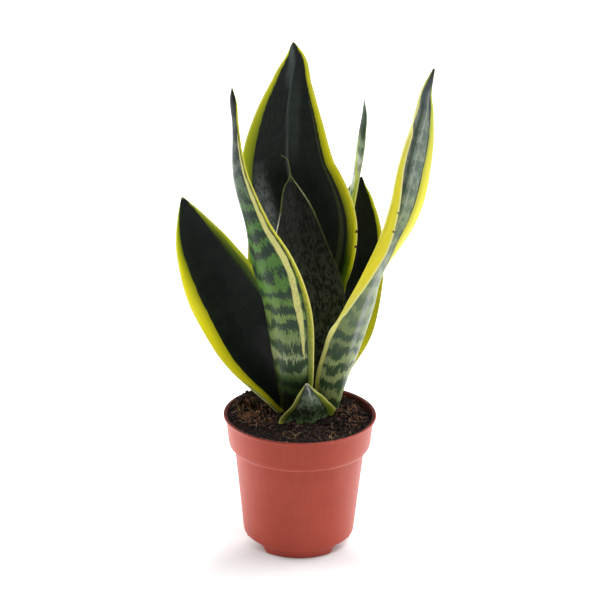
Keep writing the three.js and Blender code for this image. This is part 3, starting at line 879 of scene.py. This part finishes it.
def base_height(radius, angle):
    """The underside of the base: level, rounded up into the wall and let down into the feet."""
    wall = np.clip((radius - (BODY_BOTTOM_RADIUS - BASE_ROUND)) / BASE_ROUND, 0, 1)
    level = BASE_Z + BASE_ROUND * (1 - np.sqrt(1 - np.minimum(wall, 0.999) ** 2))
    away = np.min([np.abs((angle - foot + 180) % 360 - 180) for foot in FOOT_ANGLES], axis=0)
    ends = ease((FOOT_HALF_ANGLE + FOOT_SLOPE - away) / (2 * FOOT_SLOPE))
    outside = ease((FOOT_OUTER - radius) / FOOT_OUTER_SLOPE)
    inside = ease((radius - FOOT_INNER + FOOT_EDGE) / (2 * FOOT_EDGE))
    return level * (1 - ends * outside * inside)


def arc(centre, radius, start, end, count):
    """Points of an arc from one angle to another, in degrees."""
    turns = np.radians(np.linspace(start, end, count))
    return [(centre[0] + radius * math.cos(a), centre[1] + radius * math.sin(a)) for a in turns]


def between(start, end, shares):
    """Points on a straight line, at these shares of the way."""
    return [tuple(a + (b - a) * share for a, b in zip(start, end)) for share in shares]


def pot_wall():
    """The outline above the base, with the moulding's small steps: up the outside, then down the inside."""
    body_foot = (BODY_BOTTOM_RADIUS, BASE_Z + BASE_ROUND)
    collar_foot = (COLLAR_BOTTOM_RADIUS, COLLAR_BOTTOM_Z + COLLAR_EDGE)
    outside = [
        body_foot,
        *between(body_foot, (BODY_TOP_RADIUS, BODY_TOP_Z), np.linspace(0.05, 1, 16)),
        (BODY_TOP_RADIUS + 0.2, COLLAR_BOTTOM_Z + 0.1),
        (COLLAR_BOTTOM_RADIUS - 1.7, COLLAR_BOTTOM_Z),
        *arc((COLLAR_BOTTOM_RADIUS - 1.6, COLLAR_BOTTOM_Z + 0.5), 0.5, -90, -40, 4),
        (COLLAR_BOTTOM_RADIUS - 0.55, COLLAR_BOTTOM_Z + 1.3),
        collar_foot,
        *between(collar_foot, (COLLAR_TOP_RADIUS, COLLAR_TOP_Z), np.linspace(0.1, 1, 8)),
        (COLLAR_TOP_RADIUS + 0.3, POT_HEIGHT - 2.3),
        (LIP_RADIUS - 1.0, POT_HEIGHT - 1.9),
        *arc((LIP_RADIUS - LIP_ROUND, POT_HEIGHT - LIP_ROUND), LIP_ROUND, -60, 90, 8),
    ]
    inside = [
        (LIP_RADIUS - 2.2, POT_HEIGHT - 0.15),
        *arc((COLLAR_TOP_RADIUS - WALL + 0.5, POT_HEIGHT - 0.9), 0.6, 100, 180, 5),
        (COLLAR_TOP_RADIUS - WALL - 0.2, POT_HEIGHT - 3),
        (COLLAR_BOTTOM_RADIUS - WALL + 0.2, COLLAR_BOTTOM_Z + 6),
        (COLLAR_BOTTOM_RADIUS - WALL, COLLAR_BOTTOM_Z + 3.4),
        (COLLAR_BOTTOM_RADIUS - 1.9, COLLAR_BOTTOM_Z + WALL),
        (BODY_TOP_RADIUS - WALL, COLLAR_BOTTOM_Z + WALL - 0.2),
        (BODY_BOTTOM_RADIUS - WALL, BASE_Z + BASE_ROUND + WALL),
    ]
    return outside, inside


def make_pot(material):
    angles = np.arange(POT_SEGMENTS) * 360 / POT_SEGMENTS
    cos, sin = np.cos(np.radians(angles)), np.sin(np.radians(angles))
    oval = 1 + OVAL * np.cos(np.radians(2 * angles + OVAL_TURN))
    outside, inside = pot_wall()
    rings = []

    def add(radius, height):
        high = ease(np.mean(height) / OVAL_HEIGHT)
        wide = radius * (1 + (oval - 1) * min(1, radius / BODY_BOTTOM_RADIUS) * high)
        rings.append(np.stack([wide * cos, wide * sin, height * np.ones(POT_SEGMENTS)], -1))

    for radius in BASE_RADII:
        add(radius, base_height(radius, angles))
    for radius, height in outside + inside:
        add(radius, height)
    for radius in BASE_RADII[::-1]:
        inner = radius - WALL * min(1, radius / BODY_BOTTOM_RADIUS)
        add(inner, base_height(radius, angles) + WALL)
    points = np.concatenate(rings + [np.array([[0, 0, BASE_Z], [0, 0, BASE_Z + WALL]])])
    count = len(rings)
    faces = grid_faces(count, POT_SEGMENTS)
    bottom = count * POT_SEGMENTS
    top, last = bottom + 1, bottom - POT_SEGMENTS
    for j in range(POT_SEGMENTS):
        after = (j + 1) % POT_SEGMENTS
        faces.append((bottom, after, j))
        faces.append((top, last + j, last + after))
    outer_rings = len(BASE_RADII) + len(outside)
    within = np.repeat(np.arange(count) >= outer_rings, POT_SEGMENTS)
    within = np.concatenate([within, [False, True]])
    pot = make_object("pot_shell", points, faces, material, {"within": within})
    cut_drains(pot)
    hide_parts("pot")
    return pot


def cut_drains(pot):
    """Cuts the drain holes through the base, and leaves no modifier behind."""
    holes = bmesh.new()
    ring = [polar(DRAIN_RING_RADIUS, math.radians(angle + BETWEEN_FEET)) for angle in FOOT_ANGLES]
    for x, y in [(0, 0)] + ring:
        made = bmesh.ops.create_cone(holes, cap_ends=True, segments=DRAIN_SIDES, radius1=DRAIN_RADIUS * MM,
                                     radius2=DRAIN_RADIUS * MM, depth=DRAIN_CUT * MM)
        bmesh.ops.translate(holes, verts=made["verts"], vec=Vector((x, y, BASE_Z)) * MM)
    mesh = bpy.data.meshes.new("drains")
    holes.to_mesh(mesh)
    holes.free()
    cutter = add_object("drains", mesh)
    modifier = pot.modifiers.new("drains", "BOOLEAN")
    modifier.operation = "DIFFERENCE"
    modifier.solver = "EXACT"
    modifier.object = cutter
    evaluated = pot.evaluated_get(bpy.context.evaluated_depsgraph_get())
    cut = bpy.data.meshes.new_from_object(evaluated)
    pot.modifiers.clear()
    pot.data = cut
    bpy.data.objects.remove(cutter)


def pot_material():
    g = Graph(bpy.data.materials.new("pot_plastic_skin"))
    spot = g.millimetres()
    x, y, z = g.split(spot)
    cloudy = g.noise(spot, 0.03, 3)
    fine = g.noise(spot, 0.9, 4, 0.6)
    grit = g.noise(spot, 3.5, 2)
    flow = g.noise(g.vector("MULTIPLY", spot, (0.5, 0.5, 0.02)), 1, 3)
    colour = g.mix(g.step(cloudy, 0.3, 0.7), *POT_REDS)
    colour = g.mix(g.step(flow, 0.35, 0.7, 0.0, 0.3), colour, FLOW_RED)
    colour = g.mix(g.step(fine, 0.62, 0.8, 0.0, 0.25), colour, SCUFF_RED)
    # The collar's lower edge has a painted highlight, the lip is a darker red as painted shade, and the
    # inside is darkened, partly by dirt and partly by painted shade.
    radius = g.vector("LENGTH", g.combine(x, y, 0.0))
    from_edge = g.math("ABSOLUTE", g.minus(z, COLLAR_BOTTOM_Z + 0.3))
    highlight_strength = g.step(g.noise(spot, 0.12, 2), 0.3, 0.6, 0.2, 0.55)
    edge_highlight = g.times(g.step(from_edge, 0.75, 0.2), g.step(radius, 53.8, 54.6), highlight_strength)
    colour = g.mix(edge_highlight, colour, EDGE_HIGHLIGHT_RED)
    # Painted shade: the lip is given a darker red than the pot.
    lip = g.step(z, POT_HEIGHT - 2.2, POT_HEIGHT - 1.2)
    colour = g.mix(g.times(lip, 0.7), colour, LIP_SHADE_RED)
    # Dirt and painted shade darken the inner wall and the inner edge of the lip's top.
    lip_top = g.times(lip, g.step(radius, LIP_RADIUS - 0.2, LIP_RADIUS - 0.7))
    within = g.math("MAXIMUM", g.attribute("within"), lip_top)
    dirt_and_shade = g.times(within, g.step(g.noise(spot, 0.35, 4, 0.6), 0.35, 0.6, 0.75, 1.0))
    colour = g.mix(g.times(dirt_and_shade, 0.95), colour, DIRT_AND_SHADE)
    relief = g.plus(g.plus(g.times(fine, 0.5), g.times(grit, 0.25)), g.times(flow, 0.5))
    return g.finish(
        Base_Color=colour,
        Roughness=g.math("MAXIMUM", g.step(fine, 0.2, 0.8, 0.36, 0.5), g.times(within, 0.9)),
        Normal=g.bump(relief, 0.25, 0.4),
        Specular_IOR_Level=0.36,
    )


# Potting mix: a rough surface with crumbs and coir fibres lying on it. It is heaped round the leaves and at
# the left of the back, and banked up against the pot's wall, most at the back and the left.

SOIL_LEVEL = 99.5
SOIL_EDGE = 56.0
SOIL_MOUNDS = [(10, 24, 4, 26), (-40, 22, 5, 15), (4, -50, 2, 22), (31, 5, 5, 9)]
BANK_START = 36
BANK_WIDTH = 16
BANK_HEIGHT = 2.4
BANK_AT_BACK = 2.0
BANK_AT_LEFT = 2.4
LUMPS = 1.7
GRAINS = 0.55
SOIL_RINGS = 74
SOIL_SEGMENTS = 300
SOIL_DEPTH = 12
LITTER_EDGE = 55
SOIL_BLACKS = ("#0d0908", "#231712")
SOIL_BROWN = "#4a2e1e"


def soil_level(x, y):
    """The CAD's soil: soft waves, and mounds."""
    level = SOIL_LEVEL + 0.7 * math.sin(0.42 * x + 0.9) * math.cos(0.37 * y + 0.4)
    level += 0.5 * math.sin(0.31 * y - 0.55 * x)
    for mx, my, height, radius in SOIL_MOUNDS:
        level += height * math.exp(-((x - mx) ** 2 + (y - my) ** 2) / radius**2)
    return level


def soil_height(x, y):
    """The CAD's soil roughened and banked up."""
    lumps = noise.fractal(Vector((x, y, 3)) * 0.17, 0.75, 2.1, 5)
    grains = noise.fractal(Vector((x, y, 9)) * 0.8, 0.9, 2.2, 3)
    radius = math.hypot(x, y)
    bank = BANK_HEIGHT + BANK_AT_BACK * max(-0.7, y / max(radius, 1)) - BANK_AT_LEFT * x / SOIL_EDGE
    bank = float(ease((radius - BANK_START) / BANK_WIDTH)) * bank
    return soil_level(x, y) + bank + LUMPS * lumps + GRAINS * grains


def make_soil(material):
    turns = [2 * math.pi * j / SOIL_SEGMENTS for j in range(SOIL_SEGMENTS)]
    points = [(0, 0, soil_height(0, 0))]
    for i in range(1, SOIL_RINGS + 1):
        radius = SOIL_EDGE * i / SOIL_RINGS
        for turn in turns:
            x, y = polar(radius, turn)
            points.append((x, y, soil_height(x, y)))
    points += [(*polar(SOIL_EDGE, turn), SOIL_LEVEL - SOIL_DEPTH) for turn in turns]
    faces = [(0, 1 + j, 1 + (j + 1) % SOIL_SEGMENTS) for j in range(SOIL_SEGMENTS)]
    faces += [(a + 1, d + 1, c + 1, b + 1) for a, b, c, d in grid_faces(SOIL_RINGS + 1, SOIL_SEGMENTS)]
    last = 1 + SOIL_RINGS * SOIL_SEGMENTS
    faces.append(tuple(range(last, last + SOIL_SEGMENTS))[::-1])
    soil = make_object("soil_bed", points, faces, material)
    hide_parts("soil")
    return soil


def soil_material():
    g = Graph(bpy.data.materials.new("potting_mix_bed"))
    spot = g.millimetres()
    coarse = g.noise(spot, 0.35, 4, 0.65)
    fine = g.noise(spot, 1.8, 5, 0.7)
    warm = g.noise(spot, 0.06, 2)
    colour = g.mix(g.step(coarse, 0.35, 0.65), *SOIL_BLACKS)
    colour = g.mix(g.times(g.step(fine, 0.5, 0.72), g.step(warm, 0.4, 0.7)), colour, SOIL_BROWN)
    relief = g.plus(coarse, g.times(fine, 0.5))
    relief = g.bump(relief, 0.9, 1.5)
    return g.finish(Base_Color=colour, Roughness=0.95, Normal=relief, Specular_IOR_Level=0.15)


# Crumbs and fibres. Coir lies in tufts: the place, weight and spread of each. Pairs are ends of ranges.

COCO = srgb("#a9765a")
STRAW = srgb("#bd9c74")
UMBER = srgb("#35221c")
PEAT = srgb("#0e0b0c")
LITTER_SHADE = "#120b08"
COIR_TUFTS = [(-38, 6, 1, 380), (36, 8, 1, 120), (48, 2, 0.5, 60)]
CRUMBS = 2600
CRUMB_SEED = 17
CRUMB_LEAST = 0.35
CRUMB_MORE = 1.7
CRUMB_STRETCH = ((0.7, 1.5), (0.6, 1.1), (0.5, 0.9))
CRUMB_TURNS = (0, 6.3)
CRUMB_SHADES = (0.6, 1.3)
CRUMB_DENT = 0.3
UMBER_SHARE = 0.3
FIBRES = 3000
FIBRE_SEED = 41
FIBRE_LENGTHS = (3, 11)
FIBRE_CURL = 3.2
FIBRE_RISES = (0, 1.6)
FIBRE_RADII = (0.1, 0.3)
FIBRE_SHADES = (0.5, 1.15)
FIBRE_SIDES = 5
FIBRE_STEPS = 9
FIBRE_SWAY = 0.18
FIBRE_LIFT = 0.15
FRONT_FIBRES = 90
FRONT_X = (-12, 46)
FRONT_Y = (-46, -14)
FRONT_LENGTHS = (5, 15)
FRONT_CURL = 3.5
FRONT_RISES = (0.2, 2.2)
FRONT_RADII = (0.08, 0.2)


def soil_spot(rng, edge):
    turn = rng.uniform(0, 2 * math.pi)
    return polar(edge * math.sqrt(rng.random()), turn)


def coir(x, y):
    """How thickly the coir lies."""
    thick = 0
    for tx, ty, weight, spread in COIR_TUFTS:
        thick += weight * math.exp(-((x - tx) ** 2 + (y - ty) ** 2) / spread)
    return thick


def fibre_tone(rng, x, y):
    """Golden brown in the tufts and darker elsewhere."""
    warm = coir(x, y)
    pick = rng.random()
    if pick < 0.04 + 0.6 * warm:
        tone = COCO
    elif pick < 0.06 + 0.75 * warm:
        tone = STRAW
    else:
        tone = UMBER
    fade = rng.uniform(*FIBRE_SHADES)
    return [c * fade for c in tone]


def fibre_path(rng, x, y, length, curl, lift):
    heading = rng.uniform(0, 2 * math.pi)
    turning = rng.uniform(-curl, curl)
    path = []
    pace = length / FIBRE_STEPS
    for k in range(FIBRE_STEPS + 1):
        if math.hypot(x, y) > LITTER_EDGE:
            break
        rise = lift * math.sin(math.pi * k / FIBRE_STEPS)
        path.append(Vector((x, y, soil_height(x, y) + FIBRE_LIFT + rise)))
        heading += turning / FIBRE_STEPS + rng.uniform(-FIBRE_SWAY, FIBRE_SWAY)
        x, y = x + pace * math.cos(heading), y + pace * math.sin(heading)
    return path


def add_fibre(points, faces, tones, path, radius, tone):
    """A thin tube along the path, thinner towards both ends."""
    start = len(points)
    for k, spot in enumerate(path):
        ahead = path[min(k + 1, len(path) - 1)] - path[max(k - 1, 0)]
        side = ahead.cross(Vector((0, 0, 1))).normalized()
        up = side.cross(ahead).normalized()
        thin = radius * (1 - 0.6 * (2 * k / (len(path) - 1) - 1) ** 2)
        for s in range(FIBRE_SIDES):
            turn = 2 * math.pi * s / FIBRE_SIDES
            points.append(tuple(spot + side * thin * math.cos(turn) + up * thin * math.sin(turn)))
            tones.append(tone)
    faces.extend(tuple(start + c for c in face) for face in tube_faces(len(path), FIBRE_SIDES))


def make_fibres(material):
    rng = random.Random(FIBRE_SEED)
    points, faces, tones = [], [], []
    for _ in range(FIBRES):
        x, y = soil_spot(rng, LITTER_EDGE - 0.5)
        if rng.random() > 0.12 + 0.9 * coir(x, y):
            continue
        path = fibre_path(rng, x, y, rng.uniform(*FIBRE_LENGTHS), FIBRE_CURL, rng.uniform(*FIBRE_RISES))
        if len(path) > 3:
            add_fibre(points, faces, tones, path, rng.uniform(*FIBRE_RADII), fibre_tone(rng, x, y))
    # A few long pale fibres lie curled on the dark mix at the front right.
    for _ in range(FRONT_FIBRES):
        x, y = rng.uniform(*FRONT_X), rng.uniform(*FRONT_Y)
        path = fibre_path(rng, x, y, rng.uniform(*FRONT_LENGTHS), FRONT_CURL, rng.uniform(*FRONT_RISES))
        if len(path) > 5:
            fade = 0.15 + 0.75 * rng.random() ** 2
            add_fibre(points, faces, tones, path, rng.uniform(*FRONT_RADII), [c * fade for c in STRAW])
    return make_object("soil_fibres", points, faces, material, colours={"tone": tones})


def make_crumbs(material):
    rng = random.Random(CRUMB_SEED)
    ball = bmesh.new()
    bmesh.ops.create_icosphere(ball, subdivisions=1, radius=1)
    corners = [v.co.copy() for v in ball.verts]
    sides = [tuple(v.index for v in face.verts) for face in ball.faces]
    ball.free()
    points, faces, tones = [], [], []
    for _ in range(CRUMBS):
        x, y = soil_spot(rng, LITTER_EDGE)
        size = CRUMB_LEAST + CRUMB_MORE * rng.random() ** 3
        stretch = Vector([rng.uniform(*ends) for ends in CRUMB_STRETCH])
        axis = Vector([rng.random() for _ in range(3)]).normalized()
        turn = Quaternion(axis, rng.uniform(*CRUMB_TURNS))
        middle = Vector((x, y, soil_height(x, y) + 0.25 * size))
        shade = rng.uniform(*CRUMB_SHADES)
        tone = [c * shade for c in (UMBER if rng.random() < UMBER_SHARE else PEAT)]
        start = len(points)
        for corner in corners:
            dented = corner * (1 + CRUMB_DENT * rng.uniform(-1, 1)) * size
            points.append(tuple(middle + turn @ Vector(a * b for a, b in zip(dented, stretch))))
            tones.append(tone)
        faces.extend(tuple(start + c for c in side) for side in sides)
    return make_object("soil_crumbs", points, faces, material, colours={"tone": tones})


def litter_material():
    g = Graph(bpy.data.materials.new("potting_mix_litter"))
    fine = g.noise(g.millimetres(), 2.2, 4, 0.7)
    return g.finish(
        Base_Color=g.mix(g.step(fine, 0.3, 0.7, 0.0, 0.45), g.attribute("tone", "Color"), LITTER_SHADE),
        Roughness=g.step(fine, 0.3, 0.7, 0.7, 0.9),
        Normal=g.bump(fine, 0.6, 0.4),
        Specular_IOR_Level=0.2,
    )


# Studio, in metres. A softbox is its place, what it is aimed at, its width, its height and its radiance.
# The sky's light grows from SKY_LEAST to SKY_MOST between directions that point back by SKY_FRONT and by
# SKY_BACK.

FLOOR_SIZE = 12.0
FLOOR_GLOW = 1.0
PAPER = ((0.66, 0.66, 0.66), (0.68, 0.68, 0.68))
PAPER_GLOW = ((0.12, 0.12, 0.12), (1, 1, 1))
SOFTBOXES = {
    "softbox_left": ((-1.3, 0.3, 0.9), (0, 0, 0.2), 0.8, 0.9, 4.8),
    "softbox_right": ((1.1, 0.3, 1.0), (0, 0, 0.2), 0.8, 0.8, 3.5),
    "softbox_top": ((0.3, -0.1, 1.4), (0, 0, 0.1), 1.2, 1.0, 5.5),
}
SKY_FRONT = -0.4
SKY_BACK = 0.6
SKY_LEAST = 0.05
SKY_MOST = 1.2
WHITE = (1, 1, 1)


def floor_material():
    """White paper that glows, less so close to the plant and not straight in front of it."""
    g = Graph(bpy.data.materials.new("floor_paper"))
    place = g.place()
    front = g.times(g.split(place)[1], -1.0)
    reach = g.vector("LENGTH", place)
    ahead = g.math("DIVIDE", front, g.math("MAXIMUM", reach, 0.01))
    glow = g.times(g.step(ahead, 0.75, 0.1), g.step(reach, 0.05, 0.13, 0.45, 1.0))
    return g.finish(
        Base_Color=g.mix(g.step(g.noise(place, 3.0, 3), 0.3, 0.7), *PAPER),
        Roughness=0.9,
        Specular_IOR_Level=0.05,
        Emission_Color=g.mix(glow, *PAPER_GLOW),
        Emission_Strength=FLOOR_GLOW,
    )


def make_floor():
    mesh = bpy.data.meshes.new("floor")
    half = FLOOR_SIZE / 2
    corners = [(-half, -half, 0), (half, -half, 0), (half, half, 0), (-half, half, 0)]
    mesh.from_pydata(corners, [], [(0, 1, 2, 3)])
    mesh.materials.append(floor_material())
    floor = add_object("floor", mesh)


def add_softbox(name, place, aim, width, height, radiance):
    """An area light of a given brightness, whatever its size, that the camera doesn't see."""
    data = bpy.data.lights.new(name, "AREA")
    data.shape = "RECTANGLE"
    data.size, data.size_y, data.energy = width, height, radiance * math.pi * width * height
    light = add_object(name, data)
    light.visible_camera = False
    light.location = place
    light.rotation_mode = "QUATERNION"
    light.rotation_quaternion = (Vector(aim) - Vector(place)).to_track_quat("-Z", "Y")


def make_world():
    """White all round for the camera. As light it is brighter behind and at the sides than in front."""
    g = Graph(bpy.data.worlds.new("studio"))
    g.tree.nodes.clear()
    back = g.split(g.node("TexCoord").outputs["Generated"])["Y"]
    sky = g.step(back, SKY_FRONT, SKY_BACK, SKY_LEAST, SKY_MOST)
    shade = g.node("Background", (WHITE, sky)).outputs[0]
    white = g.node("Background", (WHITE, 1.0)).outputs[0]
    sight = g.node("LightPath").outputs["Is Camera Ray"]
    seen = g.node("MixShader", (sight, shade, white)).outputs[0]
    g.node("OutputWorld", (seen,))
    bpy.context.scene.world = g.owner


def make_studio():
    make_floor()
    make_world()
    for name, values in SOFTBOXES.items():
        add_softbox(name, *values)
    view = bpy.context.scene.view_settings
    view.view_transform = "Standard"
    view.look = "None"


make_camera()
make_studio()
skin = leaf_material()
for number, (name, spec) in enumerate(LEAVES.items()):
    leaf_mesh(name, spec, skin, SEED_STEP * number)
make_pot(pot_material())
make_soil(soil_material())
litter = litter_material()
make_crumbs(litter)
make_fibres(litter)
